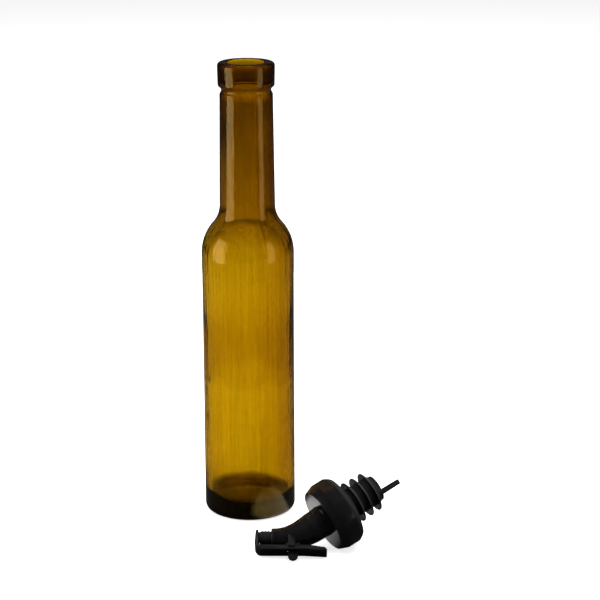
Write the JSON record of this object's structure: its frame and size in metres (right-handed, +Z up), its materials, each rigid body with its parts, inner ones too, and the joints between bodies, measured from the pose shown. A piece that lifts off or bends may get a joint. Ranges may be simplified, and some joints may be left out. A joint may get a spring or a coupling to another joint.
{
  "type": "glass oil bottle with pouring stopper",
  "caption": "Slim amber glass bottle for kitchen oil, with a black lever pouring stopper lying beside it.",
  "frame": {"origin": "centre of the bottle's flat base, on the surface it stands on", "axes": "+Z up along the bottle's axis, +X towards the side where the pouring stopper lies, -Y towards the viewer"},
  "size_m": [0.103, 0.1029, 0.245],
  "materials": {
    "amber_glass": "glossy",
    "gloss_black": "glossy",
    "satin_black": "satin",
    "soft_black": "satin",
    "steel": "drawn"
  },
  "bodies": {
    "bottle": {"bottle": "amber_glass"},
    "pourer": {"spout_body": "gloss_black", "stopper_sleeve": "soft_black", "end_cap": "satin_black", "vent_tube": "satin_black", "nozzle_tip": "gloss_black", "return_spring": "steel"},
    "lever": {"lever": "gloss_black", "lever_pin": "steel", "closing_pad": "soft_black"}
  },
  "joints": [
    {"name": "pourer_lift", "type": "slide", "parent": "bottle", "child": "pourer", "axis": [0, 0, 1], "range_m": [0, 0.26]},
    {"name": "lever_pivot", "type": "hinge", "parent": "pourer", "child": "lever", "pos_m": [0.02156, -0.07345, 0.00456], "axis": [-0.027, -0.6554, 0.7548], "range_deg": [0, 14], "stiffness_Nm_per_rad": 0.02, "springref_deg": -20.05}
  ]
}
